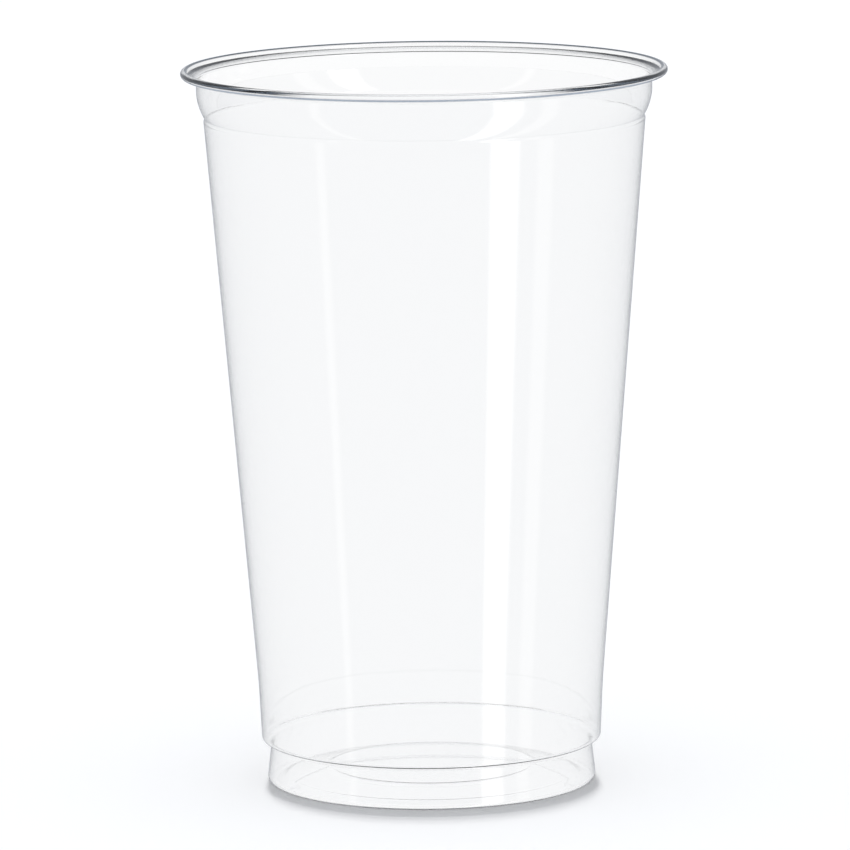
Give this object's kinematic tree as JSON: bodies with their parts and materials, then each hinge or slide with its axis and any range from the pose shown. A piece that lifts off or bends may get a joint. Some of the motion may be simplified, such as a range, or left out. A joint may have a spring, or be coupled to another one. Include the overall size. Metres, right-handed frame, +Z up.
{
  "type": "plastic disposable cup",
  "caption": "Tall clear drinking cup, tapered, with a flared lip ending in a bead, a short collar, a shoulder over a hollow foot, and a raised floor.",
  "frame": {"origin": "centre of the foot's underside, on the surface that the cup stands on", "axes": "+Z up along the cup's axis; X and Y lie across it and are alike, because the cup is round"},
  "size_m": [0.095, 0.095, 0.141],
  "materials": {
    "clear_plastic": "clear and glossy, formed from transparent polyester sheet"
  },
  "bodies": {
    "root": {"cup": "clear_plastic"}
  },
  "joints": []
}
